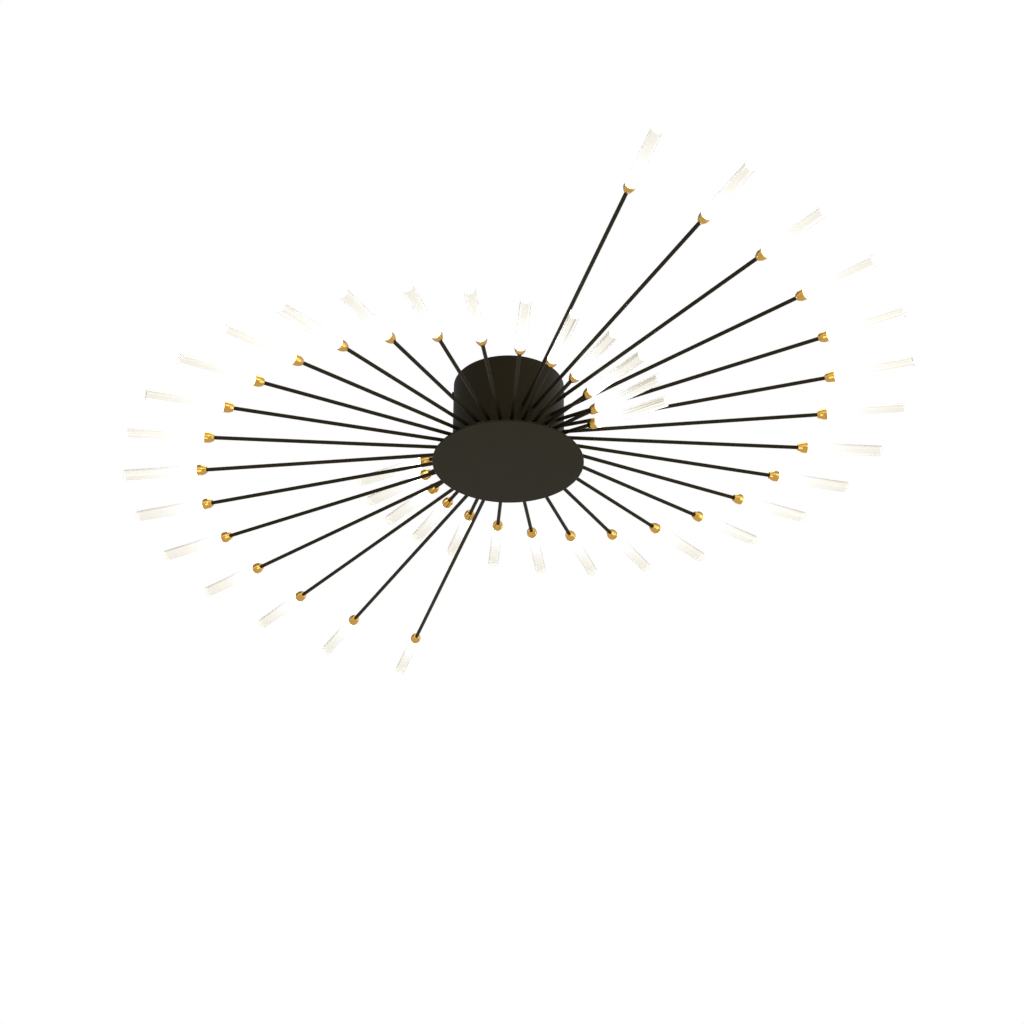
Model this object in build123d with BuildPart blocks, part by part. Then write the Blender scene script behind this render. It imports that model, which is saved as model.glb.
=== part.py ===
import os
from math import cos, pi, radians, sin, sqrt

from build123d import *

os.makedirs("parts", exist_ok=True)

# Ceiling light: a drum on the ceiling, a disc under it, and two spiral arms of rods with lit ends.
# Millimetres, +Z up, origin at the centre of the ceiling plane, so the light hangs below z = 0.

# Drum and disc
drum_diameter = 148
drum_height = 119
drum_wall = 1.2
disc_diameter = 200
disc_thickness = 2.5

# Rods: an arm's rods shorten evenly from the first to the last, each a step further round
rods_per_arm = 21
rods_per_turn = 32
first_heading = -75
longest_reach = 457
shortest_reach = 47
rod_diameter = 5
lower_tier_height = 18
tier_spacing = 23.5

# Lamp heads: a flared cup on the rod's end, an LED board on the floor of its bore, and an acrylic rod
# that stands on the cup's rim with a spigot in the bore
cup_diameter = 14
cup_back_diameter = 9.4
cup_length = 13.2
cup_flare = 8
cup_bore_diameter = 9.6
cup_floor = 4.5
board_thickness = 1.6
board_clearance = 0.3
board_air_gap = 0.4
guide_diameter = 14
guide_clearance = 0.1
guide_reach = 100

# Ceiling bracket: a strap with turned-down ears that the side screws enter
strap_width = 24
strap_thickness = 1.5
bend_radius = 1.5
ear_drop = 24
ear_clearance = 0.6
slot_spacing = 70
slot_length = 24
slot_width = 5.2
cable_hole_diameter = 10

# Machine screws: side screws hold the drum, the earth screw takes the supply's earth wire
screw_diameter = 4
screw_head_diameter = 8
screw_head_height = 2.4
thread_clearance = 0.1
wall_hole_clearance = 0.3
side_screw_length = 9
side_screw_drop = 13
earth_screw_offset = 7.5
earth_screw_tip = 0.4

# Lugs turned in at the drum's foot, and studs welded to the disc's top face, with nuts
lug_count = 3
lug_start = 30
lug_length = 13
lug_width = 14
stud_diameter = 4
stud_hole_clearance = 0.3
nut_across_flats = 7
nut_height = 3.2
stud_tip = 1.5

# Driver, held at its end tabs
driver_length = 80
driver_width = 36
driver_height = 22
driver_corner = 3
driver_y = -17
tab_length = 9
tab_width = 12
tab_thickness = 2

# Terminal block with two poles and a web between them
terminal_y = 25
terminal_depth = 18
pole_spacing = 20
pole_width = 10
pole_height = 13
pole_corner = 3
web_height = 5

# Sides of the small round sections: rods, studs and screws, the cups' bores, and the cups and acrylic rods
small_sides = 12
bore_sides = 8
head_sides = 14

drum_radius = drum_diameter / 2
drum_bore_radius = drum_radius - drum_wall
floor_z = -drum_height
lug_stud_radius = drum_bore_radius - lug_length / 2
lower_tier_z = floor_z + lower_tier_height
upper_tier_z = lower_tier_z + tier_spacing


def write(piece, name):
    piece.part.label = name
    export_step(piece.part, f"parts/{name}.step")


def radial_plane(heading, radius, height):
    # A plane square to a heading, with its normal pointing away from the drum's axis
    outward = Vector(cos(radians(heading)), sin(radians(heading)), 0)
    return Plane(origin=outward * radius + Vector(0, 0, height), x_dir=(0, 0, 1), z_dir=outward)


# Drum: a wall with three lugs at its foot and two holes for the side screws
with BuildPart() as drum_housing:
    with BuildSketch(Plane.XY.offset(floor_z)):
        Circle(drum_radius)
        Circle(drum_bore_radius, mode=Mode.SUBTRACT)
    extrude(amount=drum_height)
    with BuildSketch(Plane.XY.offset(floor_z)):
        with PolarLocations(lug_stud_radius, lug_count, start_angle=lug_start):
            Rectangle(lug_length + 2 * drum_wall, lug_width)
        Circle(drum_radius, mode=Mode.INTERSECT)
        with PolarLocations(lug_stud_radius, lug_count, start_angle=lug_start):
            RegularPolygon(stud_diameter / 2 + stud_hole_clearance, small_sides, mode=Mode.SUBTRACT)
    extrude(amount=drum_wall)
    with BuildSketch(Plane.YZ):
        with Locations((0, -side_screw_drop)):
            RegularPolygon(screw_diameter / 2 + wall_hole_clearance, small_sides)
    extrude(amount=drum_radius, both=True, mode=Mode.SUBTRACT)
write(drum_housing, "drum_housing")

# Fixings on the disc: where each stud stands and how thick the piece is that it clamps
driver_stud_x = driver_length / 2 + tab_length / 2
lug_stud_points = [
    Vector(lug_stud_radius, 0).rotate(Axis.Z, lug_start + 360 / lug_count * number)
    for number in range(lug_count)
]
fixings = [(point.X, point.Y, drum_wall) for point in lug_stud_points]
fixings += [(side * driver_stud_x, driver_y, tab_thickness) for side in (-1, 1)]
fixings += [(0, terminal_y, web_height)]

with BuildPart() as bottom_disc:
    with BuildSketch(Plane.XY.offset(floor_z - disc_thickness)):
        Circle(disc_diameter / 2)
    extrude(amount=disc_thickness)
    for stud_x, stud_y, clamped in fixings:
        with BuildSketch(Plane.XY.offset(floor_z)):
            with Locations((stud_x, stud_y)):
                RegularPolygon(stud_diameter / 2, small_sides)
        extrude(amount=clamped + nut_height + stud_tip)
write(bottom_disc, "bottom_disc")

with BuildPart() as nut:
    with BuildSketch():
        RegularPolygon(nut_across_flats / 2, 6, major_radius=False)
        RegularPolygon(stud_diameter / 2 + thread_clearance, small_sides, mode=Mode.SUBTRACT)
    extrude(amount=nut_height)

with BuildPart() as stud_nuts:
    with Locations(*[(stud_x, stud_y, floor_z + clamped) for stud_x, stud_y, clamped in fixings]):
        add(nut.part)
write(stud_nuts, "stud_nuts")

# Driver: a case with a tab at each end, standing on the disc
with BuildPart() as led_driver:
    with BuildSketch(Plane.XY.offset(floor_z)) as case:
        with Locations((0, driver_y)):
            Rectangle(driver_length, driver_width)
        chamfer(case.vertices(), length=driver_corner)
    extrude(amount=driver_height)
    with BuildSketch(Plane.XY.offset(floor_z)):
        with Locations((0, driver_y)):
            Rectangle(driver_length + 2 * tab_length, tab_width)
        with Locations((-driver_stud_x, driver_y), (driver_stud_x, driver_y)):
            RegularPolygon(stud_diameter / 2 + stud_hole_clearance, small_sides, mode=Mode.SUBTRACT)
    extrude(amount=tab_thickness)
write(led_driver, "led_driver")

# Terminal block: two poles with chamfered tops, joined by a web that its stud goes through
with BuildPart() as terminal_block:
    with BuildSketch(Plane.XZ.offset(-terminal_y)) as section:
        with Locations((0, floor_z)):
            Rectangle(pole_spacing, web_height, align=(Align.CENTER, Align.MIN))
        with Locations((-pole_spacing / 2, floor_z), (pole_spacing / 2, floor_z)):
            Rectangle(pole_width, pole_height, align=(Align.CENTER, Align.MIN))
        chamfer(section.vertices().group_by(Axis.Y)[-1], length=pole_corner)
    extrude(amount=terminal_depth / 2, both=True)
    with BuildSketch(Plane.XY.offset(floor_z)):
        with Locations((0, terminal_y)):
            RegularPolygon(stud_diameter / 2 + stud_hole_clearance, small_sides)
    extrude(amount=web_height, mode=Mode.SUBTRACT)
write(terminal_block, "terminal_block")

# Bracket: the ears stand just inside the drum's bore, with tapped holes
ear_face = sqrt(drum_bore_radius**2 - (strap_width / 2) ** 2) - ear_clearance
with BuildPart() as ceiling_bracket:
    with BuildSketch(Plane.XZ):
        with BuildLine():
            FilletPolyline(
                (-ear_face, -ear_drop),
                (-ear_face, 0),
                (ear_face, 0),
                (ear_face, -ear_drop),
                radius=bend_radius + strap_thickness,
            )
            offset(amount=strap_thickness, side=Side.RIGHT)
        make_face()
    extrude(amount=strap_width / 2, both=True)
    with BuildSketch():
        with GridLocations(slot_spacing, 0, 2, 1):
            SlotOverall(slot_length, slot_width)
        Circle(cable_hole_diameter / 2)
    extrude(amount=-strap_thickness, mode=Mode.SUBTRACT)
    with BuildSketch(Plane.YZ):
        with Locations((0, -side_screw_drop)):
            RegularPolygon(screw_diameter / 2 + thread_clearance, small_sides)
    extrude(amount=ear_face, both=True, mode=Mode.SUBTRACT)
    with BuildSketch(Plane.YZ):
        with Locations((earth_screw_offset, -side_screw_drop)):
            RegularPolygon(screw_diameter / 2 + thread_clearance, small_sides)
    extrude(amount=ear_face, mode=Mode.SUBTRACT)
write(ceiling_bracket, "ceiling_bracket")

# Screws: two through the drum's wall from outside, one through an ear from inside
screws = {
    "side_screw_right": (drum_radius, 0, 1, side_screw_length),
    "side_screw_left": (-drum_radius, 0, -1, side_screw_length),
    "earth_screw": (ear_face - strap_thickness, earth_screw_offset, -1, strap_thickness + earth_screw_tip),
}
for name, (seat_x, seat_y, head_side, length) in screws.items():
    with BuildPart() as screw:
        with BuildSketch(Plane.YZ.offset(seat_x)):
            with Locations((seat_y, -side_screw_drop)):
                RegularPolygon(screw_head_diameter / 2, small_sides)
        extrude(amount=head_side * screw_head_height)
        with BuildSketch(Plane.YZ.offset(seat_x)):
            with Locations((seat_y, -side_screw_drop)):
                RegularPolygon(screw_diameter / 2, small_sides)
        extrude(amount=-head_side * length)
    write(screw, name)

# Where each rod points, how high it lies and how far it reaches from the drum's wall
rod_turn = 360 / rods_per_turn
rod_step = (longest_reach - shortest_reach) / (rods_per_arm - 1)
rods = {}
for arm, tier_z, arm_heading in (
    ("upper", upper_tier_z, first_heading),
    ("lower", lower_tier_z, first_heading + 180),
):
    rods[arm] = [
        (arm_heading + number * rod_turn, tier_z, longest_reach - number * rod_step)
        for number in range(rods_per_arm)
    ]

# Rods: brazed square on the drum's wall, each as long as its reach to the back of its cup
for arm, arm_rods in rods.items():
    for number, (heading, tier_z, reach) in enumerate(arm_rods, start=1):
        with BuildPart() as rod:
            with BuildSketch(radial_plane(heading, drum_radius, tier_z)):
                RegularPolygon(rod_diameter / 2, small_sides)
            extrude(amount=reach)
        write(rod, f"{arm}_rod_{number:02d}")

# One lamp head, made along +Z from the back of its cup
bore_radius = cup_bore_diameter / 2
spigot_radius = bore_radius - guide_clearance
spigot_back = cup_floor + board_thickness + board_air_gap
board_side = (bore_radius * cos(pi / bore_sides) - board_clearance) * sqrt(2)
flare_depth = (cup_diameter - cup_back_diameter) / 2 * cos(pi / head_sides)

with BuildPart() as cup:
    with BuildSketch():
        RegularPolygon(cup_diameter / 2, head_sides)
    extrude(amount=cup_length)
    back = cup.faces().sort_by(Axis.Z)[0]
    chamfer(back.edges(), length=flare_depth, length2=cup_flare, reference=back)
    with BuildSketch(Plane.XY.offset(cup_floor)):
        RegularPolygon(bore_radius, bore_sides)
    extrude(amount=cup_length - cup_floor, mode=Mode.SUBTRACT)

with BuildPart() as board:
    with BuildSketch(Plane.XY.offset(cup_floor)):
        Rectangle(board_side, board_side)
    extrude(amount=board_thickness)

with BuildPart() as guide:
    with BuildSketch(Plane.XY.offset(spigot_back)):
        RegularPolygon(spigot_radius, bore_sides)
    extrude(amount=cup_length - spigot_back)
    with BuildSketch(Plane.XY.offset(cup_length)):
        RegularPolygon(guide_diameter / 2, head_sides)
    extrude(amount=guide_reach)

# Heads at the ends of the rods, each kind in one group for each arm
for arm, arm_rods in rods.items():
    rod_ends = [radial_plane(heading, drum_radius + reach, tier_z) for heading, tier_z, reach in arm_rods]
    for kind, piece in {"lamp_cups": cup, "led_boards": board, "light_guides": guide}.items():
        with BuildPart() as group:
            with Locations(*rod_ends):
                add(piece.part)
        write(group, f"{arm}_{kind}")
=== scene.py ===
from math import cos, pi, radians, sin, tan

import bmesh
import bpy
import numpy as np
from mathutils import Matrix, Vector


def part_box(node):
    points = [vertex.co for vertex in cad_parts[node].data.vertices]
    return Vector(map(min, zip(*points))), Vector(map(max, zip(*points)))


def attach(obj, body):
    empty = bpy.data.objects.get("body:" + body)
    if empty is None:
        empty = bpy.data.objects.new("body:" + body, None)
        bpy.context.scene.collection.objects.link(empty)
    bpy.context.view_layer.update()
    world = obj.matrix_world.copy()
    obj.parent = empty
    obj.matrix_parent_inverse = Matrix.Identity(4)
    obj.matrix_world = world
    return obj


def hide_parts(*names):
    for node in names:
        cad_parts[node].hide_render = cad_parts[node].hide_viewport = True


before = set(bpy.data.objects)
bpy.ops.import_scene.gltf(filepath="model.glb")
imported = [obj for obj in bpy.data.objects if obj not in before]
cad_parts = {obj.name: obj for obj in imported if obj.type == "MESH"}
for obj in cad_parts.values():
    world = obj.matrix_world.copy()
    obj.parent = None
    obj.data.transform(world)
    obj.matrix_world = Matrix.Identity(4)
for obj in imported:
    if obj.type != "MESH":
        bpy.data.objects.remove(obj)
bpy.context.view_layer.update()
mm = 0.001
nearly = 0.1 * mm
weldGap = 0.001 * mm
arms = ("upper", "lower")
rodsPerArm = 21
print("frame loaded:", len(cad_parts), "nodes")


# Reading the frame


def nodePoints(name):
    # Every corner of a CAD node, one row each, in metres
    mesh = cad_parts[name].data
    points = np.empty(len(mesh.vertices) * 3, np.float32)
    mesh.vertices.foreach_get("co", points)
    return points.reshape(-1, 3).astype(float)


def rodLine(name):
    # The middle of a rod gives its heading and height, its corners give its reach and thickness
    points = nodePoints(name)
    middle = (points.min(axis=0) + points.max(axis=0)) / 2
    heading = np.array((middle[0], middle[1], 0.0)) / np.hypot(middle[0], middle[1])
    along = points @ heading
    radius = np.abs(points[:, 2] - middle[2]).max()
    return {"heading": heading, "height": middle[2], "start": along.min(), "end": along.max(),
            "radius": radius}


def onRod(name, rod, reach=9 * mm):
    # A group node's corners near one rod: how far each is past the rod's end, and how far off its line
    points = nodePoints(name)
    side = np.cross((0, 0, 1), rod["heading"])
    off = np.hypot(points @ side, points[:, 2] - rod["height"])
    along = points @ rod["heading"]
    near = (off < reach) & (along > 0)
    return along[near] - rod["end"], off[near]


def clusters(points, reach):
    # Corners that lie within reach of each other in plan, as one low and one high corner for each group
    found = []
    while len(points):
        near = np.hypot(points[:, 0] - points[0, 0], points[:, 1] - points[0, 1]) < reach
        found.append((points[near].min(axis=0), points[near].max(axis=0)))
        points = points[~near]
    return found


rods = {arm: [rodLine(f"{arm}_rod_{number:02d}") for number in range(1, rodsPerArm + 1)]
        for arm in arms}
nuts = clusters(nodePoints("stud_nuts"), reach=9 * mm)
discLow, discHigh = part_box("bottom_disc")
drumLow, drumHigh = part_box("drum_housing")
print("rods and nuts read:", [len(rods[arm]) for arm in arms], len(nuts))


# Surfaces


def turned(along, radius, segments):
    # Rows turned about the axis: x = r cos t, y = r sin t, z = along; both may change with t
    turn = np.arange(segments) * 2 * pi / segments
    radius, along = np.broadcast_arrays(radius * np.ones(segments), along)
    return np.stack([radius * np.cos(turn), radius * np.sin(turn), along], -1)


def spun(profile, segments, outline=1.0):
    # A profile of (along, radius) turned about the axis; outline stretches the radius with the turn
    along, radius = np.array(profile, float).T[:, :, None]
    return turned(along, radius * outline, segments)


def arc(along, radius, size, start, stop, steps=5):
    # A quarter round or the like in a profile: centre plus size times (cos, sin) from start to stop degrees
    turn = np.radians(np.linspace(start, stop, steps))
    return list(zip(along + size * np.cos(turn), radius + size * np.sin(turn)))


def threaded(start, end, crest, pitch, segments, depth=0.6, tipDepth=0.7, rowsPerTurn=8):
    # A screw thread: r = crest - depth pitch |2 frac(along / pitch - t / 2 pi) - 1|, coned in at the end;
    # both depths are in pitches
    rows = np.linspace(start, end, int(abs(end - start) / pitch * rowsPerTurn) + 2)[:, None]
    turn = np.arange(segments) / segments
    wave = np.abs(2 * ((rows / pitch - turn) % 1) - 1)
    cone = crest - tipDepth * pitch + np.abs(end - rows)
    return turned(rows, np.minimum(crest - depth * pitch * wave, cone), segments)


def headDome(radius, height, slot, bars=2, segments=96, steps=30):
    # A pan head: z = h (1 - (r/R)^4)^(1/2), less a recess of one bar or two; slot holds the recess's
    # width, length and depth, and how far its sides slope
    reach = radius * np.cos(np.linspace(0, pi / 2, steps))[:, None]
    turn = np.arange(segments) * 2 * pi / segments
    across, up = reach * np.cos(turn), reach * np.sin(turn)
    width, length, depth, slope = slot

    def cut(one, other):
        inWidth = np.clip((width / 2 - np.abs(one)) / slope + 0.5, 0, 1)
        return inWidth * np.clip((length / 2 - np.abs(other)) / slope + 0.5, 0, 1)

    recess = np.maximum(cut(across, up), cut(up, across)) if bars == 2 else cut(across, up)
    return turned(height * (1 - (reach / radius) ** 4) ** 0.5 - depth * recess, reach, segments)


def sunkHead(radius, height, slot, bars=2, segments=96, sink=0.2 * mm):
    # A pan head without its shank, on a flat foot that is sunk in what it stands on
    foot = spun([(-sink, 0), (-sink, radius)], segments)
    return np.concatenate([foot, headDome(radius, height, slot, bars, segments)])


def slab(halfX, halfY, corner, low, high, edge, segments=64, steps=5, leastBend=0.02 * mm):
    # A rounded rectangle: x = (a - c) sgn(cos t) + c cos t, y alike, raised from low to high
    # with a round top edge
    turn = (np.arange(segments) + 0.5) * 2 * pi / segments
    ease = np.linspace(0, pi / 2, steps)
    inset = np.concatenate([[corner, 0], edge * (1 - np.cos(ease)), [corner]])[:, None]
    level = np.concatenate([[low, low], high - edge * (1 - np.sin(ease)), [high]])
    bend = np.maximum(corner - inset, leastBend)
    points = np.empty((len(level) + 2, segments, 3))
    points[1:-1, :, 0] = (halfX - inset - bend) * np.sign(np.cos(turn)) + bend * np.cos(turn)
    points[1:-1, :, 1] = (halfY - inset - bend) * np.sign(np.sin(turn)) + bend * np.sin(turn)
    points[1:-1, :, 2] = level[:, None]
    points[0] = (0, 0, low)
    points[-1] = (0, 0, high)
    return points


def placed(grid, origins, axes, sides, ups):
    # Carries a grid to each place: origin + x side + y up + z axis, for all the places at once
    spread = np.stack([sides, ups, axes], 1)
    return np.einsum("rci,kij->krcj", grid, spread) + np.asarray(origins)[:, None, None, :]


def quads(copies, rows, columns, loop=False):
    # Four corners a face, between each row and the next; columns close on themselves, rows only in a loop
    copy = np.arange(copies)[:, None, None] * rows * columns
    row = np.arange(rows if loop else rows - 1)[None, :, None]
    column = np.arange(columns)[None, None, :]
    nextRow = (row + 1) % rows
    nextColumn = (column + 1) % columns
    corners = [row * columns + column, row * columns + nextColumn,
               nextRow * columns + nextColumn, nextRow * columns + column]
    return np.stack([corner + copy for corner in corners], -1).reshape(-1, 4)


def handed(name, mesh, finish, body, nodes):
    # Makes the object with its finish as its material, hands it to its body, and hides the nodes that it
    # stands for
    mesh.materials.clear()
    mesh.materials.append(finish)
    piece = bpy.data.objects.new(name, mesh)
    bpy.context.scene.collection.objects.link(piece)
    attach(piece, body)
    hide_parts(*nodes)
    return piece


def gridPiece(name, grid, places, finish, body, nodes, loop=False, lengthwise=None, sharp=38):
    # One mesh with a copy of the grid at each place, welded at its poles; lengthwise holds a value for
    # each row, and a bend of more than sharp degrees stays sharp
    points = placed(grid, *places)
    copies, rows, columns, _ = points.shape
    mesh = bpy.data.meshes.new(name)
    mesh.from_pydata(points.reshape(-1, 3).tolist(), [], quads(copies, rows, columns, loop).tolist())
    if lengthwise is not None:
        values = np.broadcast_to(np.asarray(lengthwise)[None, :, None], (copies, rows, columns))
        layer = mesh.attributes.new("lengthwise", "FLOAT", "POINT")
        layer.data.foreach_set("value", np.ascontiguousarray(values, np.float32).ravel())
    skin = bmesh.new()
    skin.from_mesh(mesh)
    bmesh.ops.remove_doubles(skin, verts=skin.verts, dist=weldGap)
    bmesh.ops.recalc_face_normals(skin, faces=skin.faces)
    skin.to_mesh(mesh)
    skin.free()
    mesh.shade_smooth()
    mesh.set_sharp_from_angle(angle=radians(sharp))
    handed(name, mesh, finish, body, nodes)


def dressedNode(name, node, edge, finish, body, flatWithin=0.3, edgeFrom=25):
    # A copy of a CAD node with its flats made whole and its edges broken by a small round; both angles
    # are in degrees
    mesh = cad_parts[node].data.copy()
    mesh.name = name
    skin = bmesh.new()
    skin.from_mesh(mesh)
    bmesh.ops.remove_doubles(skin, verts=skin.verts, dist=weldGap)
    bmesh.ops.dissolve_limit(skin, angle_limit=radians(flatWithin), verts=skin.verts, edges=skin.edges)
    skin.to_mesh(mesh)
    skin.free()
    mesh.shade_smooth()
    piece = handed(name, mesh, finish, body, [node])
    bevel = piece.modifiers.new("brokenEdges", "BEVEL")
    bevel.width = edge
    bevel.segments = 2
    bevel.limit_method = "ANGLE"
    bevel.angle_limit = radians(edgeFrom)
    # The large flats lead the shading, so no bend or broken edge pulls it across them
    piece.modifiers.new("flatShading", "WEIGHTED_NORMAL").keep_sharp = True


def rodPlaces(someRods):
    # The axes of each rod: out along it, level across it, and up
    axes = np.array([rod["heading"] for rod in someRods])
    ups = np.tile((0.0, 0.0, 1.0), (len(someRods), 1))
    origins = np.array([(0.0, 0.0, rod["height"]) for rod in someRods])
    return origins, axes, np.cross(ups, axes), ups


def facingPlaces(points, axis=(0.0, 0.0, 1.0)):
    # Places that all face one way, each at its own point
    count = len(points)
    axes = np.tile(axis, (count, 1))
    sides = np.tile((1.0, 0.0, 0.0) if abs(axis[2]) > 0.5 else (0.0, 0.0, 1.0), (count, 1))
    return np.array(points, float), axes, sides, np.cross(axes, sides)


# Materials


def linear(hexText):
    # sRGB hex to the linear values that shaders work in
    parts = np.array([int(hexText[at:at + 2], 16) / 255 for at in (1, 3, 5)])
    values = np.where(parts <= 0.04045, parts / 12.92, ((parts + 0.055) / 1.055) ** 2.4)
    return (*values.tolist(), 1.0)


def addNode(tree, kind, inputs=None, **settings):
    # Adds a node, sets its settings, then fills each input with a value or a link
    node = tree.nodes.new(kind)
    for key, value in settings.items():
        setattr(node, key, value)
    for key, value in (inputs or {}).items():
        if isinstance(value, bpy.types.NodeSocket):
            tree.links.new(value, node.inputs[key])
        else:
            node.inputs[key].default_value = value
    return node


def startMaterial(name):
    # An empty material with its tree
    material = bpy.data.materials.new(name)
    material.use_nodes = True
    material.node_tree.nodes.clear()
    return material, material.node_tree


def endMaterial(tree, surface):
    addNode(tree, "ShaderNodeOutputMaterial", {"Surface": surface})


def powderCoat():
    # Powder coat on steel, sprayed and baked: near black, with a warm semi-gloss over fine orange peel
    look = dict(deep="#1a170f", pale="#201d14", sheen="#ffe19a", level=0.155, peel=1.2 * mm, cloud=30 * mm)
    material, tree = startMaterial("satinPowderCoat")
    spot = addNode(tree, "ShaderNodeTexCoord").outputs["Object"]
    cloud = addNode(tree, "ShaderNodeTexNoise", {"Vector": spot, "Scale": 1 / look["cloud"], "Detail": 3.0})
    peel = addNode(tree, "ShaderNodeTexNoise", {"Vector": spot, "Scale": 1 / look["peel"], "Detail": 2.0})
    colour = addNode(tree, "ShaderNodeMix", {0: cloud.outputs["Fac"], 6: linear(look["deep"]),
                                             7: linear(look["pale"])}, data_type="RGBA")
    rough = addNode(tree, "ShaderNodeMapRange", {"Value": peel.outputs["Fac"], "To Min": 0.32,
                                                 "To Max": 0.42})
    bump = addNode(tree, "ShaderNodeBump", {"Height": peel.outputs["Fac"], "Strength": 0.25,
                                            "Distance": 0.06 * mm})
    coat = addNode(tree, "ShaderNodeBsdfPrincipled", {
        "Base Color": colour.outputs[2], "Roughness": rough.outputs["Result"],
        "Normal": bump.outputs["Normal"], "Specular IOR Level": look["level"],
        "Specular Tint": linear(look["sheen"])})
    endMaterial(tree, coat.outputs["BSDF"])
    return material


def goldPlate():
    # Gold plate on turned brass: polished, with the faint rings that the lathe leaves
    look = dict(dark="#dc952a", light="#fed87e", ring=0.35 * mm, roughness=0.11)
    material, tree = startMaterial("turnedGoldPlate")
    along = addNode(tree, "ShaderNodeAttribute", attribute_name="lengthwise").outputs["Fac"]
    rings = addNode(tree, "ShaderNodeTexNoise", {"W": along, "Scale": 1 / look["ring"], "Detail": 1.0},
                    noise_dimensions="1D")
    colour = addNode(tree, "ShaderNodeMix", {0: rings.outputs["Fac"], 6: linear(look["dark"]),
                                             7: linear(look["light"])}, data_type="RGBA")
    bump = addNode(tree, "ShaderNodeBump", {"Height": rings.outputs["Fac"], "Strength": 0.2,
                                            "Distance": 0.03 * mm})
    plate = addNode(tree, "ShaderNodeBsdfPrincipled", {
        "Base Color": colour.outputs[2], "Metallic": 1.0, "Roughness": look["roughness"],
        "Normal": bump.outputs["Normal"]})
    endMaterial(tree, plate.outputs["BSDF"])
    return material


def castAcrylic():
    # Cast acrylic rod lit from its cup: it glows white near the lamp and clears to a warm cream at its
    # free end
    look = dict(
        glow=((0.12, "#ffffff"), (0.3, "#7c7c7c"), (0.45, "#5d5d5b"), (0.6, "#4d4b46"), (0.75, "#423f37"),
              (0.9, "#3b3830")),
        tint=((0.3, "#000000"), (0.45, "#7c7c7c"), (0.6, "#a6a6a6"), (0.75, "#bcbcbc"), (0.9, "#c4c4c4")),
        strength=5.0, roughness=0.2, gloss=0.04, index=1.49)
    material, tree = startMaterial("litCastAcrylic")
    along = addNode(tree, "ShaderNodeAttribute", attribute_name="lengthwise").outputs["Fac"]
    ramps = {}
    for kind in ("glow", "tint"):
        ramps[kind] = addNode(tree, "ShaderNodeValToRGB", {"Fac": along})
        stops = ramps[kind].color_ramp.elements
        stops[0].position, stops[1].position = look[kind][0][0], look[kind][-1][0]
        for place, _ in look[kind][1:-1]:
            stops.new(place)
        for stop, (_, colour) in zip(stops, look[kind]):
            stop.color = linear(colour)
    rod = addNode(tree, "ShaderNodeBsdfPrincipled", {
        "Base Color": ramps["tint"].outputs["Color"], "Roughness": look["roughness"], "IOR": look["index"],
        "Transmission Weight": 1.0, "Coat Weight": 1.0, "Coat Roughness": look["gloss"],
        "Coat IOR": look["index"],
        "Emission Color": ramps["glow"].outputs["Color"], "Emission Strength": look["strength"]})
    endMaterial(tree, rod.outputs["BSDF"])
    return material


def phosphor():
    # Yellow phosphor over an LED chip, glowing warm white
    look = dict(body="#f2d268", glow="#ffe2a8", strength=2.5, grain=0.4 * mm)
    material, tree = startMaterial("ledPhosphor")
    spot = addNode(tree, "ShaderNodeTexCoord").outputs["Object"]
    grain = addNode(tree, "ShaderNodeTexNoise", {"Vector": spot, "Scale": 1 / look["grain"]})
    colour = addNode(tree, "ShaderNodeMix", {0: grain.outputs["Fac"], 6: linear(look["body"]),
                                             7: linear(look["glow"])}, data_type="RGBA")
    gel = addNode(tree, "ShaderNodeBsdfPrincipled", {
        "Base Color": colour.outputs[2], "Roughness": 0.35, "Emission Color": linear(look["glow"]),
        "Emission Strength": look["strength"]})
    endMaterial(tree, gel.outputs["BSDF"])
    return material


def zincPlate():
    # Bright zinc on pressed steel: pale, a little blue, with rolling marks along the strip
    look = dict(dark="#8d9093", light="#b9bcbe", mark=0.8 * mm, roughness=0.34)
    material, tree = startMaterial("zincPlatedSteel")
    spot = addNode(tree, "ShaderNodeTexCoord").outputs["Object"]
    drawn = addNode(tree, "ShaderNodeMapping", {"Vector": spot, "Scale": (0.06, 1.0, 1.0)})
    marks = addNode(tree, "ShaderNodeTexNoise", {"Vector": drawn.outputs["Vector"],
                                                 "Scale": 1 / look["mark"], "Detail": 3.0})
    colour = addNode(tree, "ShaderNodeMix", {0: marks.outputs["Fac"], 6: linear(look["dark"]),
                                             7: linear(look["light"])}, data_type="RGBA")
    bump = addNode(tree, "ShaderNodeBump", {"Height": marks.outputs["Fac"], "Strength": 0.15,
                                            "Distance": 0.03 * mm})
    plate = addNode(tree, "ShaderNodeBsdfPrincipled", {
        "Base Color": colour.outputs[2], "Metallic": 1.0, "Roughness": look["roughness"],
        "Normal": bump.outputs["Normal"]})
    endMaterial(tree, plate.outputs["BSDF"])
    return material


def mouldedPlastic(name, dark, light, grit, roughness):
    # Injection-moulded plastic: one colour through, spark-textured by its mould
    material, tree = startMaterial(name)
    spot = addNode(tree, "ShaderNodeTexCoord").outputs["Object"]
    spark = addNode(tree, "ShaderNodeTexNoise", {"Vector": spot, "Scale": 1 / grit, "Detail": 2.0})
    colour = addNode(tree, "ShaderNodeMix", {0: spark.outputs["Fac"], 6: linear(dark), 7: linear(light)},
                     data_type="RGBA")
    bump = addNode(tree, "ShaderNodeBump", {"Height": spark.outputs["Fac"], "Strength": 0.3,
                                            "Distance": 0.05 * mm})
    shell = addNode(tree, "ShaderNodeBsdfPrincipled", {
        "Base Color": colour.outputs[2], "Roughness": roughness, "Normal": bump.outputs["Normal"]})
    endMaterial(tree, shell.outputs["BSDF"])
    return material


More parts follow.
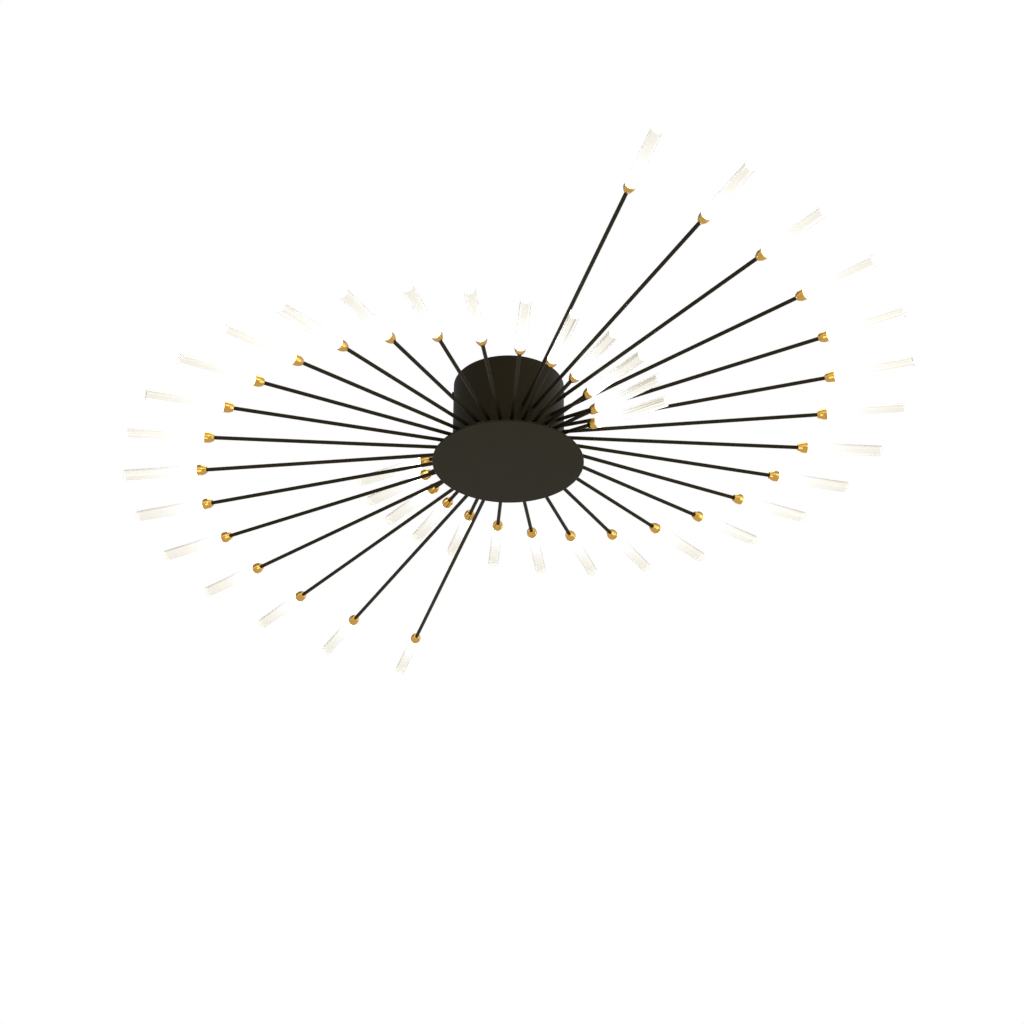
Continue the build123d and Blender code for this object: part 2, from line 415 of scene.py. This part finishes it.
blackCoat = powderCoat()
gold = goldPlate()
acrylic = castAcrylic()
ledGlow = phosphor()
zinc = zincPlate()
whiteCase = mouldedPlastic("mouldedPolycarbonate", "#d9d9d4", "#e4e4df", 0.6 * mm, 0.5)
nylon = mouldedPlastic("naturalNylon", "#d8d0b8", "#e6dfca", 0.9 * mm, 0.42)
solderMask = mouldedPlastic("whiteSolderMask", "#e9e8e2", "#f4f3ee", 0.5 * mm, 0.35)
print("materials made:", len(bpy.data.materials))


# Drum: rolled sheet with its rims and lugs broken round


drumShape = dict(edge=0.35 * mm)
dressedNode("drumHousing", "drum_housing", drumShape["edge"], blackCoat, "fixture")
print("drum made")


# Disc: a flat plate with its edge rounded over, and threaded studs welded to its top


discShape = dict(round=0.9 * mm, segments=192, hold=0.4 * mm)
studShape = dict(crest=2.0 * mm, pitch=0.7 * mm, segments=24, weld=0.7 * mm, root=1.6 * mm, sink=0.5 * mm,
                 reach=4 * mm)
discRadius = discHigh.x
discTop = drumLow.z
edge, hold = discShape["round"], discShape["hold"]
discProfile = [(discLow.z, 0), (discLow.z, discRadius - edge - hold)]
discProfile += arc(discLow.z + edge, discRadius - edge, edge, 180, 90)
discProfile += arc(discTop - edge, discRadius - edge, edge, 90, 0)
discProfile += [(discTop, discRadius - edge - hold), (discTop, 0)]
gridPiece("discPlate", spun(discProfile, discShape["segments"]), facingPlaces([(0, 0, 0)]), blackCoat,
          "fixture", ["bottom_disc"])

discCorners = nodePoints("bottom_disc")
for number, (low, high) in enumerate(nuts, start=1):
    shape = studShape
    middle = (low + high) / 2
    near = np.hypot(discCorners[:, 0] - middle[0], discCorners[:, 1] - middle[1]) < shape["reach"]
    tip = discCorners[near, 2].max()
    sunk = discTop - shape["sink"]
    weld = arc(discTop + shape["weld"], shape["root"] + shape["weld"], shape["weld"], 180, 270)
    foot = spun([(sunk, 0), (sunk, shape["root"] + shape["weld"]), *weld], shape["segments"])
    shank = threaded(discTop + shape["weld"], tip, shape["crest"], shape["pitch"], shape["segments"])
    cap = spun([(tip, 0)], shape["segments"])
    gridPiece(f"stud{number}", np.concatenate([foot, shank, cap]),
              facingPlaces([(middle[0], middle[1], 0)]), blackCoat, "fixture", ["bottom_disc"])
print("disc and studs made")


# Nuts: hexagons with both faces chamfered


nutShape = dict(segments=96, bore=2.1 * mm, face=0.94, slope=25)
nutLow, nutHigh = nuts[0]
flat = (nutHigh - nutLow)[1] / 2
height = (nutHigh - nutLow)[2]
# Hexagon: r = a / cos(t mod 60 - 30), and the chamfer lifts its corners off each face in step with r
turn = np.arange(nutShape["segments"]) * 2 * pi / nutShape["segments"]
hexagon = flat / np.cos(turn % (pi / 3) - pi / 6)
ring = flat * nutShape["face"] * np.ones_like(turn)
rise = (hexagon - ring) * tan(radians(nutShape["slope"]))
bore = nutShape["bore"] * np.ones_like(turn)
level = np.zeros_like(turn)
nutGrid = turned(np.array([level, level, rise, height - rise, level + height, level + height]),
                 np.array([bore, ring, hexagon, hexagon, ring, bore]), nutShape["segments"])
nutPlaces = [((low + high) / 2 * (1, 1, 0)) + (0, 0, low[2]) for low, high in nuts]
gridPiece("studNuts", nutGrid, facingPlaces(nutPlaces), zinc, "fixture", ["stud_nuts"],
          loop=True, sharp=20)
print("nuts made")


# Rods: tubes with a small braze fillet where they meet the drum


rodShape = dict(segments=20, fillet=1.6 * mm, inset=0.8 * mm, hold=0.8 * mm)


def rodProfile(rod):
    # Straight from wall to cup; near the wall the radius grows as a quarter round, the braze fillet
    fillet = rodShape["fillet"]
    inner = rod["start"] - rodShape["inset"]
    flare = arc(rod["start"] + fillet, rod["radius"] + fillet, fillet, 180, 270)
    straight = rod["start"] + fillet + rodShape["hold"]
    return [(inner, 0), (inner, rod["radius"] + fillet), *flare, (straight, rod["radius"]),
            (rod["end"], rod["radius"]), (rod["end"], 0)]


for arm in arms:
    for number, rod in enumerate(rods[arm], start=1):
        grid = spun(rodProfile(rod), rodShape["segments"])
        gridPiece(f"{arm}Rod{number:02d}", grid, rodPlaces([rod]), blackCoat, "fixture",
                  [f"{arm}_rod_{number:02d}"])
print("rods made")


# Heads: flared gold cup, LED board with its glowing chip, acrylic rod


cupShape = dict(segments=32, backRound=0.6 * mm, flareRows=9, groove=0.15 * mm, grooveAt=1.8 * mm,
                lip=0.4 * mm, joint=0.05 * mm)
boardShape = dict(segments=48, power=8)
chipShape = dict(segments=24, radius=2.4 * mm, height=0.3 * mm)
guideShape = dict(segments=32, bevel=0.4 * mm, rows=24)

for arm in arms:
    places = rodPlaces(rods[arm])
    ends = np.array([rod["end"] for rod in rods[arm]])
    headPlaces = (places[0] + places[1] * ends[:, None], *places[1:])
    cupAlong, cupOff = onRod(f"{arm}_lamp_cups", rods[arm][0])
    boardAlong, boardOff = onRod(f"{arm}_led_boards", rods[arm][0])
    guideAlong, guideOff = onRod(f"{arm}_light_guides", rods[arm][0])
    cupEnd, cupRadius = cupAlong.max(), cupOff.max()
    boardStart, boardEnd = boardAlong.min(), boardAlong.max()
    guideStart, guideEnd, guideRadius = guideAlong.min(), guideAlong.max(), guideOff.max()
    backRadius = cupOff[cupAlong < nearly].max()
    flareEnd = cupAlong[cupOff > cupRadius - nearly].min()
    boreRadius = cupOff[np.abs(cupAlong - boardStart) < nearly].max()
    spigotRadius = guideOff[guideAlong < guideStart + nearly].max()

    # Cup: round-edged back, a bell r = b + (c - b) sin(a) out to its side, a groove, a round lip, its bore
    back, groove, lip = cupShape["backRound"], cupShape["groove"], cupShape["lip"]
    rim = cupEnd - cupShape["joint"]
    at = rim - cupShape["grooveAt"]
    swell = np.linspace(0, pi / 2, cupShape["flareRows"])
    bellAlong = back + (flareEnd - back) * swell / (pi / 2)
    bell = zip(bellAlong, backRadius + (cupRadius - backRadius) * np.sin(swell))
    cupProfile = [(0, 0), *arc(back, backRadius - back, back, 180, 120, 4), *bell, (at - groove, cupRadius),
                  (at, cupRadius - groove), (at + groove, cupRadius),
                  *arc(rim - lip, cupRadius - lip, lip, 90, 0), (rim, boreRadius), (boardStart, boreRadius),
                  (boardStart, 0)]
    steps = np.linalg.norm(np.diff(np.array(cupProfile), axis=0), axis=1)
    gridPiece(f"{arm}LampCups", spun(cupProfile, cupShape["segments"]), headPlaces, gold, "fixture",
              [f"{arm}_lamp_cups"], lengthwise=np.concatenate([[0], np.cumsum(steps)]))

    # Board: a square plate with rounded corners, r = c / (|cos t|^n + |sin t|^n)^(1/n)
    turn = np.arange(boardShape["segments"]) * 2 * pi / boardShape["segments"]
    power = boardShape["power"]
    square = 1 / (np.abs(np.cos(turn)) ** power + np.abs(np.sin(turn)) ** power) ** (1 / power)
    half = boardOff.max() / 2 ** 0.5
    boardProfile = [(boardStart, 0), (boardStart, half), (boardEnd, half), (boardEnd, 0)]
    gridPiece(f"{arm}LedBoards", spun(boardProfile, boardShape["segments"], square), headPlaces, solderMask,
              "fixture", [f"{arm}_led_boards"])
    chip = chipShape
    dome = np.linspace(0, pi / 2, 5)
    chipProfile = [(boardEnd, 0),
                   *zip(boardEnd + chip["height"] * np.sin(dome), chip["radius"] * np.cos(dome))]
    gridPiece(f"{arm}LedChips", spun(chipProfile, chip["segments"]), headPlaces, ledGlow, "fixture",
              [f"{arm}_led_boards"])

    # Acrylic rod: a spigot in the cup's bore, a shoulder on its rim, and rows that carry the fading light
    bevel = guideShape["bevel"]
    rows = np.linspace(cupEnd + bevel, guideEnd - bevel, guideShape["rows"])
    guideProfile = [(guideStart, 0), (guideStart, spigotRadius), (cupEnd, spigotRadius),
                    (cupEnd, guideRadius - bevel), *[(row, guideRadius) for row in rows],
                    (guideEnd, guideRadius - bevel), (guideEnd, 0)]
    lengthwise = [(row[0] - guideStart) / (guideEnd - guideStart) for row in guideProfile]
    gridPiece(f"{arm}LightGuides", spun(guideProfile, guideShape["segments"]), headPlaces, acrylic,
              "fixture", [f"{arm}_light_guides"], lengthwise=lengthwise)
print("heads made")


# Ceiling bracket: pressed strap, its edges broken


bracketShape = dict(edge=0.25 * mm)
dressedNode("ceilingBracket", "ceiling_bracket", bracketShape["edge"], zinc, "fixture")


# Machine screws: a pan head with a cross recess on a threaded shank


screwShape = dict(headRadius=4.0 * mm, headHeight=2.4 * mm, crest=2.0 * mm, pitch=0.7 * mm, segments=96,
                  recess=(1.1 * mm, 4.4 * mm, 1.2 * mm, 0.45 * mm))


def screwGrid(length):
    # From the shank's tip up to its seat at 0, out under the head and over its dome
    shape = screwShape
    shank = threaded(0, -length, shape["crest"], shape["pitch"], shape["segments"])[::-1]
    tip = spun([(-length, 0)], shape["segments"])
    head = headDome(shape["headRadius"], shape["headHeight"], shape["recess"], segments=shape["segments"])
    return np.concatenate([tip, shank, head])


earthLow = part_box("earth_screw")[0]
screws = {
    "side_screw_right": dict(name="sideScrewRight", axis=(1.0, 0.0, 0.0), seat=drumHigh.x, finish=blackCoat,
                             body="side_screw_right", slot="black_coat"),
    "side_screw_left": dict(name="sideScrewLeft", axis=(-1.0, 0.0, 0.0), seat=drumLow.x, finish=blackCoat,
                            body="side_screw_left", slot="black_coat"),
    "earth_screw": dict(name="earthScrew", axis=(-1.0, 0.0, 0.0),
                        seat=earthLow.x + screwShape["headHeight"], finish=zinc, body="fixture",
                        slot="zinc_steel"),
}
for node, screw in screws.items():
    low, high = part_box(node)
    tipX = low.x if screw["axis"][0] > 0 else high.x
    origin = (screw["seat"], (low.y + high.y) / 2, (low.z + high.z) / 2)
    gridPiece(screw["name"], screwGrid(abs(screw["seat"] - tipX)), facingPlaces([origin], screw["axis"]),
              screw["finish"], screw["body"], [node])
print("bracket and screws made")


# Driver: moulded case with a lid let into its top and two lid screws


driverShape = dict(edge=0.6 * mm, lidInset=1.6 * mm, lidCorner=2.4 * mm, lidSink=0.5 * mm,
                   lidRise=0.9 * mm, lidEdge=0.5 * mm, screwAt=0.84, screwRadius=2.2 * mm,
                   screwHeight=1.2 * mm, recess=(0.7 * mm, 2.6 * mm, 0.7 * mm, 0.3 * mm))
shape = driverShape
dressedNode("driverCase", "led_driver", shape["edge"], whiteCase, "fixture")
caseCorners = nodePoints("led_driver")
caseTop = caseCorners[np.abs(caseCorners[:, 2] - caseCorners[:, 2].max()) < nearly]
caseLow, caseHigh = caseTop.min(axis=0), caseTop.max(axis=0)
caseMiddle = (caseLow + caseHigh) / 2
halfX, halfY = (caseHigh - caseLow)[:2] / 2 - shape["lidInset"]
lid = slab(halfX, halfY, shape["lidCorner"], -shape["lidSink"], shape["lidRise"], shape["lidEdge"])
gridPiece("driverLid", lid, facingPlaces([caseMiddle]), whiteCase, "fixture", ["led_driver"])
lidScrews = [caseMiddle + (side * halfX * shape["screwAt"], 0, shape["lidRise"]) for side in (-1, 1)]
gridPiece("lidScrews", sunkHead(shape["screwRadius"], shape["screwHeight"], shape["recess"]),
          facingPlaces(lidScrews), zinc, "fixture", ["led_driver"])
print("driver made")


# Terminal block: moulded nylon, a screw tower on each pole, and zinc-plated tubes at the wire entries


blockShape = dict(edge=0.4 * mm, towerOuter=2.9 * mm, towerInner=2.2 * mm, towerSink=0.5 * mm,
                  towerFloor=0.1 * mm, towerRise=1.6 * mm, towerAt=4.6 * mm, screwGap=0.2 * mm,
                  screwHeight=1.0 * mm, slot=(0.7 * mm, 6.0 * mm, 0.6 * mm, 0.15 * mm), tubeAt=0.5,
                  tubeOuter=2.4 * mm, tubeInner=1.7 * mm, tubeOut=0.4 * mm, tubeIn=5.0 * mm, segments=40)
dressedNode("terminalBlock", "terminal_block", blockShape["edge"], nylon, "fixture")
blockLow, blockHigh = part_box("terminal_block")
blockCorners = nodePoints("terminal_block")
topX = np.abs(blockCorners[np.abs(blockCorners[:, 2] - blockHigh.z) < nearly, 0])
poleX = (topX.min() + topX.max()) / 2
blockY = (blockLow.y + blockHigh.y) / 2
shape = blockShape
tops = [(side * poleX, blockY + end * shape["towerAt"], blockHigh.z) for side in (-1, 1) for end in (-1, 1)]
lip = (shape["towerOuter"] - shape["towerInner"]) / 2
towerProfile = [(-shape["towerSink"], 0), (-shape["towerSink"], shape["towerOuter"]),
                (0, shape["towerOuter"]),
                *arc(shape["towerRise"] - lip, shape["towerOuter"] - lip, lip, 90, -90, 7),
                (shape["towerFloor"], shape["towerInner"]), (shape["towerFloor"], 0)]
gridPiece("terminalTowers", spun(towerProfile, shape["segments"]), facingPlaces(tops), nylon, "fixture",
          ["terminal_block"])
screwTops = np.array(tops) + (0, 0, shape["towerFloor"])
screwHead = sunkHead(shape["towerInner"] - shape["screwGap"], shape["screwHeight"], shape["slot"], bars=1)
gridPiece("terminalScrews", screwHead, facingPlaces(screwTops), zinc, "fixture",
          ["terminal_block"])
tubeBack = -shape["tubeIn"] - (shape["tubeOuter"] - shape["tubeInner"])
tubeProfile = [(tubeBack, 0), (tubeBack, shape["tubeOuter"]), (shape["tubeOut"], shape["tubeOuter"]),
               (shape["tubeOut"], shape["tubeInner"]), (-shape["tubeIn"], shape["tubeInner"]),
               (-shape["tubeIn"], 0)]
entryZ = drumLow.z + (blockHigh.z - blockLow.z) * shape["tubeAt"]
for side, face in ((-1.0, blockLow.y), (1.0, blockHigh.y)):
    entries = [(across * poleX, face, entryZ) for across in (-1, 1)]
    gridPiece("wireTubesFront" if side < 0 else "wireTubesBack", spun(tubeProfile, shape["segments"]),
              facingPlaces(entries, (0.0, side, 0.0)), zinc, "fixture", ["terminal_block"])
print("terminal block made")


# Stage: pale floor below, white all round


stage = dict(floorDrop=3.8, floorSize=60.0, floorColour="#e8e7e4", floorLift=0.75, mirrorLift=0.41,
             fadeFrom=6.0, fadeTo=28.0, fill=0.2, brightSide=(0.25, -0.35, -0.9), brightMirror=2.1,
             darkMirror=0.06, lampAim=(0.0, 0.0, -0.1))
plainWhite = (1.0, 1.0, 1.0, 1.0)

world = bpy.data.worlds.new("whiteSurround")
bpy.context.scene.world = world
world.use_nodes = True
tree = world.node_tree
tree.nodes.clear()
# Seen directly or through the acrylic it is white; mirrored it fades from its bright side to the other;
# else it is the fill
ray = addNode(tree, "ShaderNodeLightPath").outputs
ahead = addNode(tree, "ShaderNodeVectorMath", {0: addNode(tree, "ShaderNodeTexCoord").outputs["Generated"],
                                               1: stage["brightSide"]}, operation="DOT_PRODUCT")
mirrored = addNode(tree, "ShaderNodeMapRange", {
    "Value": ahead.outputs["Value"], "From Min": -1.0, "To Min": stage["darkMirror"],
    "To Max": stage["brightMirror"]})
indirect = addNode(tree, "ShaderNodeMix", {0: ray["Is Glossy Ray"], 2: stage["fill"],
                                           3: mirrored.outputs["Result"]})
direct = addNode(tree, "ShaderNodeMath", {0: ray["Is Camera Ray"], 1: ray["Is Transmission Ray"]},
                 operation="MAXIMUM")
strength = addNode(tree, "ShaderNodeMix", {0: direct.outputs[0], 2: indirect.outputs[0], 3: 1.0})
sky = addNode(tree, "ShaderNodeBackground", {"Color": plainWhite, "Strength": strength.outputs[0]})
addNode(tree, "ShaderNodeOutputWorld", {"Surface": sky.outputs[0]})

floorMesh = bpy.data.meshes.new("floor")
span = stage["floorSize"] / 2
level = discLow.z - stage["floorDrop"]
corners = [(-span, -span, level), (span, -span, level), (span, span, level), (-span, span, level)]
floorMesh.from_pydata(corners, [], [(0, 1, 2, 3)])
floor = bpy.data.objects.new("floor", floorMesh)
bpy.context.scene.collection.objects.link(floor)
paleFloor, tree = startMaterial("paleFloor")
matt = addNode(tree, "ShaderNodeBsdfDiffuse", {"Color": linear(stage["floorColour"])})
ray = addNode(tree, "ShaderNodeLightPath").outputs
strength = addNode(tree, "ShaderNodeMix", {0: ray["Is Glossy Ray"], 2: stage["floorLift"],
                                           3: stage["mirrorLift"]})
lift = addNode(tree, "ShaderNodeEmission", {"Color": plainWhite, "Strength": strength.outputs[0]})
lifted = addNode(tree, "ShaderNodeAddShader", {0: matt.outputs[0], 1: lift.outputs[0]})
# Far from the light the floor is seen to fade into the white surround, so that no edge shows
spot = addNode(tree, "ShaderNodeTexCoord").outputs["Object"]
distance = addNode(tree, "ShaderNodeVectorMath", {0: spot}, operation="LENGTH")
far = addNode(tree, "ShaderNodeMapRange", {"Value": distance.outputs["Value"],
                                           "From Min": stage["fadeFrom"], "From Max": stage["fadeTo"]})
seenFar = addNode(tree, "ShaderNodeMath", {0: far.outputs["Result"], 1: ray["Is Camera Ray"]},
                  operation="MULTIPLY")
surround = addNode(tree, "ShaderNodeEmission", {"Color": plainWhite, "Strength": 1.0})
faded = addNode(tree, "ShaderNodeMixShader", {0: seenFar.outputs[0], 1: lifted.outputs[0],
                                              2: surround.outputs[0]})
endMaterial(tree, faded.outputs[0])
floorMesh.materials.append(paleFloor)

softboxes = {
    "keyLight": dict(place=(-1.0, -1.6, -1.9), size=1.6, power=11.0),
    "fillLight": dict(place=(2.2, -0.8, -0.9), size=1.8, power=13.0),
    "topLight": dict(place=(0.0, 0.3, 2.4), size=1.6, power=24.0),
}
for name, box in softboxes.items():
    lamp = bpy.data.lights.new(name, "AREA")
    lamp.energy = box["power"]
    lamp.size = box["size"]
    light = bpy.data.objects.new(name, lamp)
    light.location = box["place"]
    light.visible_camera = False
    towards = Vector(stage["lampAim"]) - light.location
    light.rotation_euler = towards.to_track_quat("-Z", "Y").to_euler()
    bpy.context.scene.collection.objects.link(light)
bpy.context.scene.view_settings.view_transform = "Standard"
print("stage set")


# Camera: below the light, looking up at it, as fitted to the photograph


cameraFit = dict(elevation=32.703, distance=3.25875, focal=2470.47, imageWidth=1024, sensor=36.0,
                 yaw=0.102, pitch=-1.134, roll=0.563, turn=0.367)


def turnedPair(first, second, degrees):
    # Turns two square directions about the third: the first towards the second
    angle = radians(degrees)
    return first * cos(angle) + second * sin(angle), second * cos(angle) - first * sin(angle)


rise = radians(cameraFit["elevation"])
aim = Vector((0, 0, discLow.z))
away = Vector((0, -cos(rise), -sin(rise)))
forward, right = -away, Vector((1, 0, 0))
up = right.cross(forward)
forward, right = turnedPair(forward, right, cameraFit["yaw"])
forward, up = turnedPair(forward, up, cameraFit["pitch"])
right, up = turnedPair(right, up, cameraFit["roll"])
pose = Matrix((right, up, -forward)).transposed().to_4x4()
pose.translation = away * cameraFit["distance"]
camera = bpy.data.cameras.new("camera")
camera.sensor_width = cameraFit["sensor"]
camera.lens = cameraFit["focal"] / cameraFit["imageWidth"] * cameraFit["sensor"]
cameraObject = bpy.data.objects.new("camera", camera)
aboutAxis = Matrix.Rotation(radians(cameraFit["turn"]), 4, "Z")
cameraObject.matrix_world = Matrix.Translation(aim) @ aboutAxis @ pose
bpy.context.scene.collection.objects.link(cameraObject)
bpy.context.scene.camera = cameraObject
print("camera set")
